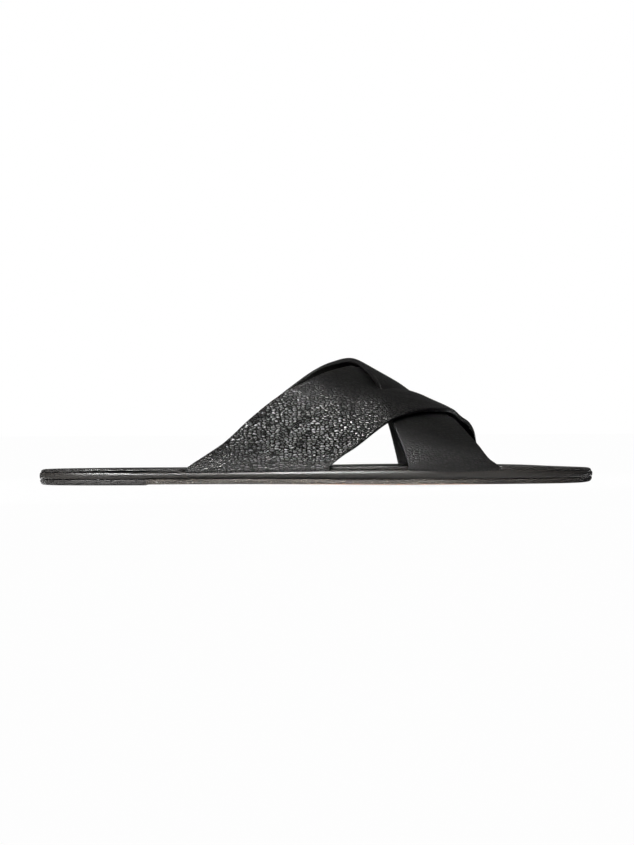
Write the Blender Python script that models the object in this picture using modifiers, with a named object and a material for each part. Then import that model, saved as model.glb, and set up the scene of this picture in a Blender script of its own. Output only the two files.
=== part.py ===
"""A slide sandal for a right foot: two crossed leather straps on a thin layered leather sole.

The frame is in metres: +Z is up, +X runs from the heel to the toe and +Y towards the big toe.
The origin is on the ground, in the middle of the sole's outline.

The straps are one solid. Each runs from a wide foot near the heel, over the instep, to a
narrower foot near the toes on the other side. The strap that starts on the little-toe side
has a slit along its middle, and the other strap passes through it, so each is on top once.
Under them lie the insole, the midsole, and the outsole with the heel tap behind it.
"""

import bpy
import numpy as np

# Plan sizes of the sole
LENGTH = 0.285
BALL_WIDTH = 0.104
TOE_WIDTH = 0.092
WAIST_WIDTH = 0.073
HEEL_WIDTH = 0.068
TAP_LENGTH = 0.0565

# Heights of the sole's layers
TREAD_THICKNESS = 0.00255
MIDSOLE_THICKNESS = 0.0049
INSOLE_THICKNESS = 0.0013
ARCH_LIFT = 0.0005
TOE_SPRING = 0.0004
FIT_GAP = 0.0003

# Edges of the sole's layers
INSOLE_INSET = 0.0008
OUTSOLE_INSET = 0.0003
RIM_ROUND = 0.0013
GROOVE_ROUND = 0.0003
TREAD_ROUND = 0.0006
INSOLE_ROUND = 0.0005

# Straps
STRAP_THICKNESS = 0.0024
INSTEP_HEIGHT = 0.0525
STRAP_JOIN = 0.0004
SLIT_RAMP = 0.16
EDGE_RAMP = 0.009
SKIVED_THICKNESS = 0.0012
TUCK_LENGTH = 0.012
TUCK_BEND = 0.0005
POCKET_RISE = 0.003

# How finely the surfaces are divided
SOLE_STATIONS = 36
STRAP_ROWS = 41
STRAP_COLUMNS = 13
BEND_ROWS = 4

# The sole's outline, once round from the heel: the share of LENGTH from the heel end, the
# width that the row follows, and the share of half that width, plus towards the big toe.
OUTLINE = (
    (0.000, HEEL_WIDTH, 0.00),
    (0.032, HEEL_WIDTH, -0.62),
    (0.150, HEEL_WIDTH, -1.00),
    (0.400, WAIST_WIDTH, -1.12),
    (0.650, BALL_WIDTH, -1.00),
    (0.850, TOE_WIDTH, -0.95),
    (0.962, TOE_WIDTH, -0.58),
    (1.000, TOE_WIDTH, 0.10),
    (0.972, TOE_WIDTH, 0.62),
    (0.880, TOE_WIDTH, 0.95),
    (0.720, BALL_WIDTH, 0.97),
    (0.430, WAIST_WIDTH, 0.84),
    (0.160, HEEL_WIDTH, 0.98),
    (0.036, HEEL_WIDTH, 0.62),
)

# The midsole's thickness along the sole: the share of LENGTH, and of MIDSOLE_THICKNESS.
MIDSOLE_PROFILE = (
    (0.00, 0.69),
    (0.25, 0.67),
    (0.42, 0.79),
    (0.53, 0.92),
    (0.64, 1.00),
    (0.76, 0.96),
    (0.87, 0.87),
    (0.94, 0.70),
    (1.00, 0.56),
)

# The arch under the waist: the share of LENGTH, and of ARCH_LIFT.
ARCH_PROFILE = ((0.0, 0.4), (0.2, 0.85), (0.36, 1.0), (0.5, 0.6), (0.66, 0.0), (1.0, 0.0))

# The toe spring: the share of LENGTH, and of TOE_SPRING.
SPRING_PROFILE = ((0.0, 0.0), (0.92, 0.0), (0.97, 0.3), (1.0, 1.0))

# The instep's ridge, inside the straps: the share of LENGTH, the height above the insole as
# a share of INSTEP_HEIGHT, and the shift to the big-toe side as a share of half BALL_WIDTH.
RIDGE = (
    (0.22, 1.46, 0.10),
    (0.34, 1.36, 0.11),
    (0.45, 1.19, 0.12),
    (0.52, 1.07, 0.12),
    (0.57, 0.951, 0.11),
    (0.61, 0.830, 0.10),
    (0.66, 0.676, 0.09),
    (0.71, 0.545, 0.08),
    (0.76, 0.437, 0.07),
    (0.81, 0.38, 0.06),
    (0.88, 0.32, 0.05),
)

# The slit strap's two edges: the way round the instep, from -1 at the foot near the heel over 0
# on the ridge to 1 at the foot near the toes, and the edges' places as shares of LENGTH.
SLIT_STRAP_EDGES = (
    (-1.00, 0.269, 0.525),
    (-0.95, 0.307, 0.547),
    (-0.90, 0.339, 0.569),
    (-0.80, 0.380, 0.599),
    (-0.65, 0.435, 0.638),
    (-0.50, 0.491, 0.675),
    (-0.25, 0.552, 0.727),
    (0.00, 0.578, 0.753),
    (0.25, 0.599, 0.779),
    (0.50, 0.621, 0.792),
    (0.75, 0.639, 0.799),
    (1.00, 0.654, 0.814),
)

# The plain strap's two edges, with the same columns.
PLAIN_STRAP_EDGES = (
    (-1.00, 0.275, 0.514),
    (-0.90, 0.332, 0.551),
    (-0.80, 0.375, 0.582),
    (-0.65, 0.428, 0.618),
    (-0.50, 0.471, 0.650),
    (-0.25, 0.524, 0.690),
    (0.00, 0.560, 0.716),
    (0.25, 0.593, 0.737),
    (0.50, 0.622, 0.759),
    (0.75, 0.641, 0.784),
    (0.92, 0.655, 0.803),
    (1.00, 0.661, 0.819),
)

# How round the instep's section is: 1 is an ellipse, and less is fuller at the sides.
SECTION_POWER = 0.92

# A strap leans over the other by this share of the lengthwise distance to its edge.
EDGE_SLANT = 0.75


def spline(table, column, at):
    """A smooth curve through one column of a table, read at the given shares."""
    knots = np.array([row[0] for row in table], float)
    values = np.array([row[column] for row in table], float)
    steps = np.diff(knots)
    slopes = np.diff(values) / steps
    # Each knot's slope is a weighted mean of its neighbours', and 0 where they turn.
    inner = np.zeros(len(knots))
    rising = slopes[:-1] * slopes[1:] > 0
    left, right = 2 * steps[1:] + steps[:-1], steps[1:] + 2 * steps[:-1]
    safe = np.where(rising, slopes[:-1], 1), np.where(rising, slopes[1:], 1)
    inner[1:-1] = np.where(rising, (left + right) / (left / safe[0] + right / safe[1]), 0)
    inner[0], inner[-1] = slopes[0], slopes[-1]
    at = np.clip(np.asarray(at, float), knots[0], knots[-1])
    piece = np.clip(np.searchsorted(knots, at) - 1, 0, len(steps) - 1)
    t = (at - knots[piece]) / steps[piece]
    return (
        values[piece] * (1 + 2 * t) * (1 - t) ** 2
        + values[piece + 1] * t * t * (3 - 2 * t)
        + steps[piece] * inner[piece] * t * (1 - t) ** 2
        - steps[piece] * inner[piece + 1] * t * t * (1 - t)
    )


def closed_curve(points, per_piece=60):
    """A closed curve with even curvature through the points: a periodic cubic spline."""
    count = len(points)
    chords = np.linalg.norm(np.roll(points, -1, 0) - points, axis=1)
    before = np.roll(chords, 1)
    matrix = np.zeros((count, count))
    rows = np.arange(count)
    matrix[rows, rows] = 2 * (chords + before)
    matrix[rows, (rows - 1) % count] = chords
    matrix[rows, (rows + 1) % count] = before
    rise = (np.roll(points, -1, 0) - points) / chords[:, None]
    wanted = 3 * (rise * before[:, None] + np.roll(rise, 1, 0) * chords[:, None])
    slopes = np.linalg.solve(matrix, wanted)
    t = np.linspace(0, 1, per_piece, endpoint=False)[None, :, None]
    start, end = points[:, None], np.roll(points, -1, 0)[:, None]
    leave, arrive = slopes[:, None], np.roll(slopes, -1, 0)[:, None]
    curve = (
        start * (1 + 2 * t) * (1 - t) ** 2
        + end * t * t * (3 - 2 * t)
        + chords[:, None, None] * (leave * t * (1 - t) ** 2 - arrive * t * t * (1 - t))
    )
    return curve.reshape(-1, 2)


def sole_outline():
    """The outline's little-toe and big-toe sides, each from the heel's end to the toe's."""
    marks = np.array([(along * LENGTH, across * width / 2) for along, width, across in OUTLINE])
    curve = closed_curve(marks)
    low, high = curve.min(0), curve.max(0)
    curve = (curve - (low + high) / 2) * (LENGTH, BALL_WIDTH) / (high - low)
    curve = np.roll(curve, -int(curve[:, 0].argmin()), 0)
    toe = int(curve[:, 0].argmax())
    little = curve[: toe + 1]
    big = np.vstack([curve[toe:], curve[:1]])[::-1]
    return little, big


LITTLE_SIDE, BIG_SIDE = sole_outline()


def share(x):
    """The share of LENGTH from the heel end."""
    return np.asarray(x) / LENGTH + 0.5


def edge_y(x, side):
    """Where the sole's edge is at x: side is -1 for the little-toe side and 1 for the other."""
    edge = LITTLE_SIDE if side < 0 else BIG_SIDE
    return np.interp(x, edge[:, 0], edge[:, 1])


def spring(x):
    return TOE_SPRING * spline(SPRING_PROFILE, 1, share(x))


def tread_bottom(x):
    return ARCH_LIFT * spline(ARCH_PROFILE, 1, share(x)) + spring(x)


def tread_top(x):
    return tread_bottom(x) + TREAD_THICKNESS


def midsole_bottom(x):
    return tread_top(x) + FIT_GAP


def midsole_top(x):
    return midsole_bottom(x) + MIDSOLE_THICKNESS * spline(MIDSOLE_PROFILE, 1, share(x))


def insole_bottom(x):
    return midsole_top(x) + FIT_GAP


def insole_top(x):
    return insole_bottom(x) + INSOLE_THICKNESS


def smooth_step(t):
    t = np.clip(t, 0, 1)
    return t * t * (3 - 2 * t)


def strap_edges(way, slit_strap):
    """A strap's rear and front edge, in metres, at a share of its way round the instep."""
    table = SLIT_STRAP_EDGES if slit_strap else PLAIN_STRAP_EDGES
    rear = (spline(table, 1, way) - 0.5) * LENGTH
    front = (spline(table, 2, way) - 0.5) * LENGTH
    return rear, front


def instep_point(x, turn):
    """A point inside the straps: turn is -1 at the little-toe edge, 0 on the ridge, 1 opposite."""
    middle = spline(RIDGE, 2, share(x)) * BALL_WIDTH / 2
    height = spline(RIDGE, 1, share(x)) * INSTEP_HEIGHT
    foot = np.where(turn < 0, edge_y(x, -1) + STRAP_THICKNESS, edge_y(x, 1) - STRAP_THICKNESS)
    angle = np.abs(turn) * np.pi / 2
    y = middle + (foot - middle) * np.sin(angle)
    z = insole_top(x) + height * np.clip(np.cos(angle), 0, 1) ** SECTION_POWER
    return np.stack([x, y, z], -1)


def crossing_rise(x, turn, slit_strap):
    """How far a strap lies above the instep where it passes over the other one.

    The slit strap is over the plain one on its front half, and under it on its rear half.
    The two trade places along the slit strap's middle line, where the slit is."""
    slit_rear, slit_front = strap_edges(turn, True)
    plain_rear, plain_front = strap_edges(-turn, False)
    across = (x - slit_rear) / (slit_front - slit_rear)
    on_top = smooth_step((across - 0.5) / (2 * SLIT_RAMP) + 0.5)
    if slit_strap:
        rear, front, wins = plain_rear, plain_front, on_top
    else:
        rear, front, wins = slit_rear, slit_front, 1 - on_top
    outside = np.maximum(np.maximum(rear - x, x - front), 0) * EDGE_SLANT
    covered = 1 - smooth_step(outside / EDGE_RAMP)
    return (STRAP_THICKNESS - STRAP_JOIN) * wins * covered


def grid_normals(grid):
    """Unit normals of a grid of points, one for each point."""
    along, across = np.gradient(grid, axis=0), np.gradient(grid, axis=1)
    normal = np.cross(across, along)
    return normal / np.linalg.norm(normal, axis=-1, keepdims=True)


def tucked_rows(x, side, from_top):
    """The rows of a strap's foot, from the insole's top down its edge and in under it.

    Each row is the strap's inner face and its thickness. A pocket starts above the insole."""
    edge = edge_y(x, side) - side * STRAP_THICKNESS
    start = insole_top(x) + (POCKET_RISE if from_top else 0)
    corner = insole_bottom(x)
    rows = [(edge, start, STRAP_THICKNESS)] if from_top else []
    rows.append((edge, (insole_top(x) + corner) / 2, STRAP_THICKNESS))
    for step in range(BEND_ROWS + 1):
        angle = np.pi / 2 * step / BEND_ROWS
        thick = STRAP_THICKNESS + (SKIVED_THICKNESS - STRAP_THICKNESS) * step / BEND_ROWS
        inward = TUCK_BEND * (1 - np.cos(angle))
        rows.append((edge - side * inward, corner - TUCK_BEND * np.sin(angle), thick))
    for reach in (0.5, 1.0):
        rows.append((edge - side * TUCK_LENGTH * reach, corner - TUCK_BEND, SKIVED_THICKNESS))
    points = [np.stack([x, y, z + 0 * x], -1) for y, z, _ in rows]
    return points, [np.full(len(x), thick) for _, _, thick in rows]


def strap_grid(slit_strap):
    """A strap's inner face as a grid, from one tucked end to the other, and its thickness."""
    turns = np.linspace(-1, 1, STRAP_ROWS)
    across = np.linspace(0, 1, STRAP_COLUMNS)
    points, thick = [], []
    for turn in turns:
        rear, front = strap_edges(turn if slit_strap else -turn, slit_strap)
        x = rear + (front - rear) * across
        points.append(instep_point(x, turn + 0 * x))
        thick.append(np.full(len(x), STRAP_THICKNESS))
    grid = np.array(points)
    x, turn = grid[..., 0], np.repeat(turns[:, None], STRAP_COLUMNS, 1)
    grid = grid + grid_normals(grid) * crossing_rise(x, turn, slit_strap)[..., None]
    first, first_thick = tucked_rows(grid[0, :, 0], -1, False)
    last, last_thick = tucked_rows(grid[-1, :, 0], 1, False)
    grid = np.concatenate([first[::-1], grid, last])
    return grid, np.array(first_thick[::-1] + thick + last_thick)


def pocket_grid(slit_strap, side):
    """The room that a strap's foot takes in the sole, with the fit gap all round it."""
    near_heel = (side < 0) == slit_strap
    rear, front = strap_edges(-1.0 if near_heel else 1.0, slit_strap)
    x = np.linspace(rear, front, STRAP_COLUMNS)
    x[0], x[-1] = x[0] - FIT_GAP, x[-1] + FIT_GAP
    points, thick = tucked_rows(x, side, True)
    inward = np.array([0, -side * FIT_GAP, 0])
    points.append(points[-1] + inward)
    thick.append(thick[-1])
    grid, thick = np.array(points), np.array(thick)
    if side < 0:
        grid, thick = grid[::-1], thick[::-1]
    return grid - grid_normals(grid) * FIT_GAP, thick + 2 * FIT_GAP


def material(name, colour, roughness):
    made = bpy.data.materials.new(name)
    made.use_nodes = True
    shader = made.node_tree.nodes["Principled BSDF"]
    shader.inputs["Base Color"].default_value = (*colour, 1)
    shader.inputs["Roughness"].default_value = roughness
    shader.inputs["Metallic"].default_value = 0
    return made


def add_object(name, points, faces, collection, finish):
    mesh = bpy.data.meshes.new(name)
    mesh.from_pydata(np.asarray(points, float).tolist(), [], faces)
    mesh.validate()
    mesh.shade_smooth()
    mesh.set_sharp_from_angle(angle=np.radians(40))
    if finish:
        mesh.materials.append(finish)
    made = bpy.data.objects.new(name, mesh)
    collection.objects.link(made)
    return made


def hide(cutter):
    cutter.hide_render = True
    cutter.display_type = "WIRE"


def shell(name, grid, thick, collection, finish):
    """A sheet from a grid of points, given its wall outwards by Solidify."""
    rows, columns = grid.shape[:2]
    index = np.arange(rows * columns).reshape(rows, columns)
    corners = (index[:-1, :-1], index[:-1, 1:], index[1:, 1:], index[1:, :-1])
    faces = np.stack(corners, -1).reshape(-1, 4).tolist()
    made = add_object(name, grid.reshape(-1, 3), faces, collection, finish)
    skive = made.vertex_groups.new(name="skive")
    most = float(thick.max())
    for value in np.unique(thick):
        members = index[thick == value].ravel().tolist()
        skive.add(members, float(value) / most, "REPLACE")
    wall = made.modifiers.new("wall", "SOLIDIFY")
    wall.thickness = most
    wall.offset = 1
    wall.vertex_group = "skive"
    wall.thickness_vertex_group = 0
    return made


def combine(target, other, operation):
    modifier = target.modifiers.new(other.name, "BOOLEAN")
    modifier.object = other
    modifier.operation = operation
    modifier.solver = "EXACT"
    hide(other)


def outline_ring(stations, inset):
    """The outline's points at the stations, moved inwards: little-toe side out, other side back."""
    sides = []
    for edge in (LITTLE_SIDE, BIG_SIDE):
        run = np.gradient(edge, axis=0)
        run /= np.linalg.norm(run, axis=1, keepdims=True)
        y = np.interp(stations, edge[:, 0], edge[:, 1])
        way = np.stack([np.interp(stations, edge[:, 0], run[:, k]) for k in (0, 1)], -1)
        way /= np.linalg.norm(way, axis=1, keepdims=True)
        sign = 1 if edge is LITTLE_SIDE else -1
        inwards = np.stack([-way[:, 1], way[:, 0]], -1) * sign
        sides.append(np.stack([stations, y], -1) + inwards * inset)
    little, big = sides
    if stations[0] <= -LENGTH / 2:
        little[0] = big[0] = (stations[0] + inset, (little[0, 1] + big[0, 1]) / 2)
        big = big[1:]
    if stations[-1] >= LENGTH / 2:
        little[-1] = (stations[-1] - inset, (little[-1, 1] + big[-1, 1]) / 2)
        big = big[:-1]
    return np.vstack([little, big[::-1]]), len(little)


def sole_stations(start, end):
    """Places along the sole, closer together towards its round ends, between two limits."""
    turn = np.linspace(0, np.pi, SOLE_STATIONS)
    every = -np.cos(turn) * LENGTH / 2
    space = LENGTH / SOLE_STATIONS / 4
    between = every[(every > start + space) & (every < end - space)]
    return np.concatenate([[start], between, [end]])


def sole_layer(name, start, end, levels, collection, finish):
    """A layer of the sole from a ring of points for each level, closed top and bottom.

    A level is the ring's inset from the outline and a function for its height."""
    stations = sole_stations(start, end)
    points, faces = [], []
    for inset, height in levels:
        ring, little = outline_ring(stations, inset)
        points.append(np.column_stack([ring, height(ring[:, 0])]))
    count = len(points[0])
    for level in range(len(levels) - 1):
        for i in range(count):
            j = (i + 1) % count
            low, high = level * count, (level + 1) * count
            faces.append((low + i, low + j, high + j, high + i))
    partner = partners(count, little, start <= -LENGTH / 2, end >= LENGTH / 2)
    top = (len(levels) - 1) * count
    for i in range(little - 1):
        rung = [i, i + 1, partner[i + 1], partner[i]]
        rung = [point for k, point in enumerate(rung) if point not in rung[:k]]
        faces.append(tuple(top + point for point in rung))
        faces.append(tuple(reversed(rung)))
    return add_object(name, np.vstack(points), faces, collection, finish)


def partners(count, little, heel_round, toe_round):
    """For each point on the little-toe side, the point across the sole from it."""
    last = little - 1
    found = {i: count - i if heel_round else count - 1 - i for i in range(little)}
    if heel_round:
        found[0] = 0
    if toe_round:
        found[last] = last
    return found


def raised(height, amount):
    return lambda x: height(x) + amount


def build_sole(collection, cutters, finishes):
    heel, toe = -LENGTH / 2, LENGTH / 2
    breast = heel + TAP_LENGTH
    tread_sides = (
        (OUTSOLE_INSET, raised(tread_top, -GROOVE_ROUND)),
        (OUTSOLE_INSET + GROOVE_ROUND, tread_top),
    )
    outsole = (
        (OUTSOLE_INSET + TREAD_ROUND, tread_bottom),
        (OUTSOLE_INSET, raised(tread_bottom, TREAD_ROUND)),
        *tread_sides,
    )
    sole_layer("outsole", breast + FIT_GAP, toe, outsole, collection, finishes["outsole"])
    tap = (
        (OUTSOLE_INSET + TREAD_ROUND, spring),
        (OUTSOLE_INSET, raised(spring, TREAD_ROUND)),
        *tread_sides,
    )
    sole_layer("heel_tap", heel, breast, tap, collection, finishes["heel_tap"])
    half_round = RIM_ROUND * (1 - np.sqrt(0.5))
    midsole = (
        (GROOVE_ROUND, midsole_bottom),
        (0.0, raised(midsole_bottom, GROOVE_ROUND)),
        (0.0, raised(midsole_top, -RIM_ROUND)),
        (half_round, raised(midsole_top, -half_round)),
        (RIM_ROUND, midsole_top),
    )
    midsole = sole_layer("midsole", heel, toe, midsole, collection, finishes["midsole"])
    insole = (
        (INSOLE_INSET, insole_bottom),
        (INSOLE_INSET, raised(insole_top, -INSOLE_ROUND)),
        (INSOLE_INSET + INSOLE_ROUND, insole_top),
    )
    insole = sole_layer("insole", heel, toe, insole, collection, finishes["insole"])
    for strap, slit_strap in (("slit", True), ("plain", False)):
        for side, word in ((-1, "little"), (1, "big")):
            grid, thick = pocket_grid(slit_strap, side)
            pocket = shell(f"{strap}_{word}_pocket", grid, thick, cutters, None)
            for layer in (midsole, insole):
                combine(layer, pocket, "DIFFERENCE")


def build_upper(collection, cutters, finish):
    """Both straps as one solid, joined where they cross."""
    upper = shell("upper", *strap_grid(True), collection, finish)
    other = shell("plain_strap", *strap_grid(False), cutters, finish)
    combine(upper, other, "UNION")


def main():
    for old in list(bpy.data.objects):
        bpy.data.objects.remove(old)
    sandal = bpy.data.collections.new("slide_sandal")
    cutters = bpy.data.collections.new("cutters")
    for collection in (sandal, cutters):
        bpy.context.scene.collection.children.link(collection)
    finishes = {
        "upper": material("grained_leather", (0.012, 0.011, 0.010), 0.42),
        "insole": material("insole_leather", (0.016, 0.014, 0.013), 0.38),
        "midsole": material("rim_leather", (0.020, 0.017, 0.015), 0.34),
        "outsole": material("sole_leather", (0.028, 0.023, 0.019), 0.55),
        "heel_tap": material("tap_rubber", (0.022, 0.021, 0.020), 0.6),
    }
    build_sole(sandal, cutters, finishes)
    build_upper(sandal, cutters, finishes["upper"])


main()
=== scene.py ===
"""Dresses the slide sandal: two crossed pebble-grained leather straps on a layered black sole.

Every piece is a surface worked out from the sandal's own sizes, in metres: +X runs from the
heel to the toe, +Y towards the big toe and +Z up, with the ground at 0.
"""

import bmesh
import bpy
import numpy as np
from bpy.props import FloatProperty, FloatVectorProperty, PointerProperty
from mathutils import Matrix, Vector


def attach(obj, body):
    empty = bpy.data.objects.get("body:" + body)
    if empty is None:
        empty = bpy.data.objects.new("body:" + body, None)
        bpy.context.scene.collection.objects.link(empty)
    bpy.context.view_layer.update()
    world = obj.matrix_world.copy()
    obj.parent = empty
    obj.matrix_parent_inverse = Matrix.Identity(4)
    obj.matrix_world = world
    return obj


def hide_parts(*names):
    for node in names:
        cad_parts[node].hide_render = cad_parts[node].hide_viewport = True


bl_info = {
    "name": "Crossed-Strap Slide Sandal",
    "version": (1, 0, 0),
    "blender": (4, 5, 0),
    "location": "View3D > Sidebar > Sandal",
    "description": "Builds the leather straps, the layered sole and the studio of a slide sandal",
    "category": "Object",
}

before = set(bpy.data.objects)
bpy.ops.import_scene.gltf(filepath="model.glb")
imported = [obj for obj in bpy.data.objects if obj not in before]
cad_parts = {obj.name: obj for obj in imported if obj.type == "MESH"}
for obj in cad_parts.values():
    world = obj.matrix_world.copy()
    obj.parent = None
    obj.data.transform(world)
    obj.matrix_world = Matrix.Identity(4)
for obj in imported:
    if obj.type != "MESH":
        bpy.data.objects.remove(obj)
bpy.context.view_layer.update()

# Plan sizes of the sole
LENGTH = 0.285
BALL_WIDTH = 0.104
TOE_WIDTH = 0.092
WAIST_WIDTH = 0.073
HEEL_WIDTH = 0.068
TAP_LENGTH = 0.0565
HEEL_END, TOE_END = -LENGTH / 2, LENGTH / 2

# Heights of the sole's layers
TREAD_THICKNESS = 0.00255
MIDSOLE_THICKNESS = 0.0049
INSOLE_THICKNESS = 0.0013
ARCH_LIFT = 0.0005
TOE_SPRING = 0.0004
FIT_GAP = 0.0003

# Edges of the sole's layers, and how they round off within END_REACH of the heel and the toe
INSOLE_INSET = 0.0008
INSOLE_ROUND = 0.0005
INSOLE_END_ROUND = 0.0024
INSOLE_END_TUCK = 0.0005
OUTSOLE_INSET = 0.0003
TREAD_ROUND = 0.0006
TREAD_END_ROUND = 0.0021
GROOVE_ROUND = 0.0003
END_REACH = 0.012

# The upper rounding takes at most this share of a layer's thickness.
MOST_ROUND = 0.8

# The rim: its shoulder, the tuck of its foot, and the share of its height at the widest line
RIM_ROUND = 0.0013
RIM_END_ROUND = 0.0004
RIM_TUCK = 0.0009
RIM_FULLEST = 0.5

# The seam under the insole, which opens most at a share of LENGTH, over another share
SEAM_WIDTH = 0.0001
SEAM_ROUND = 0.0002
SEAM_GAP = 0.0007
SEAM_MIDDLE = 0.15
SEAM_SPREAD = 0.08

# The insole's dish deepens over this distance from its edge.
DISH_FADE = 0.014

# Straps
STRAP_THICKNESS = 0.0024
INSTEP_HEIGHT = 0.0525
SLIT_RAMP = 0.16
EDGE_EASE = 0.014
SKIVED_THICKNESS = 0.0012
TUCK_LENGTH = 0.012
TUCK_BEND = 0.0005
FOOT_DROP = 0.0013
FOOT_FADE = 0.06

# How finely the surfaces are divided
STRAP_ROWS = 231
STRAP_COLUMNS = 61
BEND_STEPS = 6
CORNER_STEPS = 5
TOP_STEPS = 8
RIM_FOOT_ROWS = 7
RIM_SHOULDER_STEPS = 10
SOLE_STATIONS = 220
SOLE_COLUMNS = 28
OUTLINE_STEPS = 400

# Edges stay sharp from these angles on, in degrees. Points closer than the first distance are
# merged, and faces thinner than the second are taken out.
STRAP_SHARP = 60
SOLE_SHARP = 50
MERGE_WITHIN = 1e-7
SLIVER = 1e-8

# The sole's outline, once round from the heel: the share of LENGTH from the heel end, the
# width that the row follows, and the share of half that width, plus towards the big toe.
OUTLINE = (
    (0.000, HEEL_WIDTH, 0.00),
    (0.032, HEEL_WIDTH, -0.62),
    (0.150, HEEL_WIDTH, -1.00),
    (0.400, WAIST_WIDTH, -1.12),
    (0.650, BALL_WIDTH, -1.00),
    (0.850, TOE_WIDTH, -0.95),
    (0.962, TOE_WIDTH, -0.58),
    (1.000, TOE_WIDTH, 0.10),
    (0.972, TOE_WIDTH, 0.62),
    (0.880, TOE_WIDTH, 0.95),
    (0.720, BALL_WIDTH, 0.97),
    (0.430, WAIST_WIDTH, 0.84),
    (0.160, HEEL_WIDTH, 0.98),
    (0.036, HEEL_WIDTH, 0.62),
)

# The midsole's thickness along the sole: the share of LENGTH, and of MIDSOLE_THICKNESS.
MIDSOLE_PROFILE = (
    (0.00, 0.69),
    (0.25, 0.67),
    (0.42, 0.79),
    (0.53, 0.92),
    (0.64, 1.00),
    (0.76, 0.96),
    (0.87, 0.87),
    (0.94, 0.70),
    (1.00, 0.56),
)

# The width of the midsole's soft shoulder: the share of LENGTH, and of RIM_ROUND.
RIM_PROFILE = (
    (0.00, 0.30),
    (0.10, 0.45),
    (0.28, 1.00),
    (0.62, 1.25),
    (0.70, 0.90),
    (0.90, 0.50),
    (1.00, 0.30),
)

# The arch under the waist: the share of LENGTH, and of ARCH_LIFT.
ARCH_PROFILE = ((0.0, 0.4), (0.2, 0.85), (0.36, 1.0), (0.5, 0.6), (0.66, 0.0), (1.0, 0.0))

# The toe spring: the share of LENGTH, and of TOE_SPRING.
SPRING_PROFILE = ((0.0, 0.0), (0.92, 0.0), (0.97, 0.3), (1.0, 1.0))

# The instep's ridge, inside the straps: the share of LENGTH, the height above the insole as
# a share of INSTEP_HEIGHT, and the shift to the big-toe side as a share of half BALL_WIDTH.
RIDGE = (
    (0.22, 1.46, 0.10),
    (0.34, 1.36, 0.11),
    (0.45, 1.19, 0.12),
    (0.52, 1.07, 0.12),
    (0.57, 0.951, 0.11),
    (0.61, 0.830, 0.10),
    (0.66, 0.676, 0.09),
    (0.71, 0.545, 0.08),
    (0.76, 0.437, 0.07),
    (0.81, 0.38, 0.06),
    (0.88, 0.32, 0.05),
)

# The slit strap's two edges: the way round the instep, from -1 at the foot near the heel over 0
# on the ridge to 1 at the foot near the toes, and the edges' places as shares of LENGTH.
SLIT_STRAP_EDGES = (
    (-1.00, 0.269, 0.525),
    (-0.95, 0.307, 0.547),
    (-0.90, 0.339, 0.569),
    (-0.80, 0.380, 0.599),
    (-0.65, 0.435, 0.638),
    (-0.50, 0.491, 0.675),
    (-0.25, 0.552, 0.727),
    (0.00, 0.578, 0.753),
    (0.25, 0.599, 0.779),
    (0.50, 0.621, 0.792),
    (0.75, 0.639, 0.799),
    (1.00, 0.654, 0.814),
)

# The plain strap's two edges, with the same columns.
PLAIN_STRAP_EDGES = (
    (-1.00, 0.275, 0.514),
    (-0.90, 0.332, 0.551),
    (-0.80, 0.375, 0.582),
    (-0.65, 0.428, 0.618),
    (-0.50, 0.471, 0.650),
    (-0.25, 0.524, 0.690),
    (0.00, 0.560, 0.716),
    (0.25, 0.593, 0.737),
    (0.50, 0.622, 0.759),
    (0.75, 0.641, 0.784),
    (0.92, 0.655, 0.803),
    (1.00, 0.661, 0.819),
)

# How round the instep's section is: 1 is an ellipse, and less is fuller at the sides.
SECTION_POWER = 0.92

# A strap leans over the other by this share of the lengthwise distance to its edge.
EDGE_SLANT = 0.75

# Soft folds of the straps, listed one by one. Columns: the slit strap or not, the way round the
# instep, the place across the strap, the fold's turn in degrees from straight across, its half
# length, its half width, and its height, minus for a trough.
FOLDS = (
    (True, -0.93, 0.45, 84, 0.026, 0.0050, -0.00030),
    (True, -0.84, 0.30, 70, 0.022, 0.0060, 0.00022),
    (True, -0.62, 0.62, 38, 0.020, 0.0050, -0.00022),
    (True, -0.45, 0.60, 22, 0.014, 0.0035, -0.00030),
    (True, -0.36, 0.78, 8, 0.012, 0.0040, 0.00020),
    (True, 0.62, 0.45, 75, 0.018, 0.0055, -0.00024),
    (True, 0.90, 0.50, 86, 0.020, 0.0045, -0.00028),
    (False, -0.92, 0.50, 84, 0.026, 0.0050, -0.00030),
    (False, -0.70, 0.60, 50, 0.020, 0.0060, -0.00022),
    (False, -0.30, 0.30, 15, 0.012, 0.0040, 0.00020),
    (False, 0.52, 0.42, 62, 0.016, 0.0050, -0.00026),
    (False, 0.72, 0.62, 80, 0.015, 0.0050, 0.00022),
    (False, 0.91, 0.50, 86, 0.020, 0.0042, -0.00030),
)

# How much of the grain's relief is left where the leather is stretched over the instep: the way
# round the instep, the share left on the slit strap, and on the plain strap.
GRAIN_LEFT = (
    (-1.00, 0.60, 0.60),
    (-0.93, 1.00, 1.00),
    (-0.70, 0.95, 0.90),
    (-0.60, 0.68, 0.60),
    (-0.48, 0.32, 0.40),
    (-0.34, 0.12, 0.20),
    (0.00, 0.12, 0.12),
    (0.50, 0.25, 0.15),
    (0.80, 0.60, 0.18),
    (0.93, 0.95, 0.40),
    (1.00, 0.30, 0.30),
)

# The strap's length from the ridge to a foot, for placing the folds.
HALF_WAY_LENGTH = 0.078

# The camera: its place in metres, its tilt and roll in degrees, its lens in millimetres
CAMERA_DISTANCE = 1.5
CAMERA_HEIGHT = 0.028
CAMERA_SIDE = 0.0005
CAMERA_TILT = np.degrees(0.00222)
CAMERA_ROLL = -0.28
CAMERA_LENS = 124.0
CAMERA_CLIP = (0.05, 50)
SENSOR = 36.0

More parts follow.
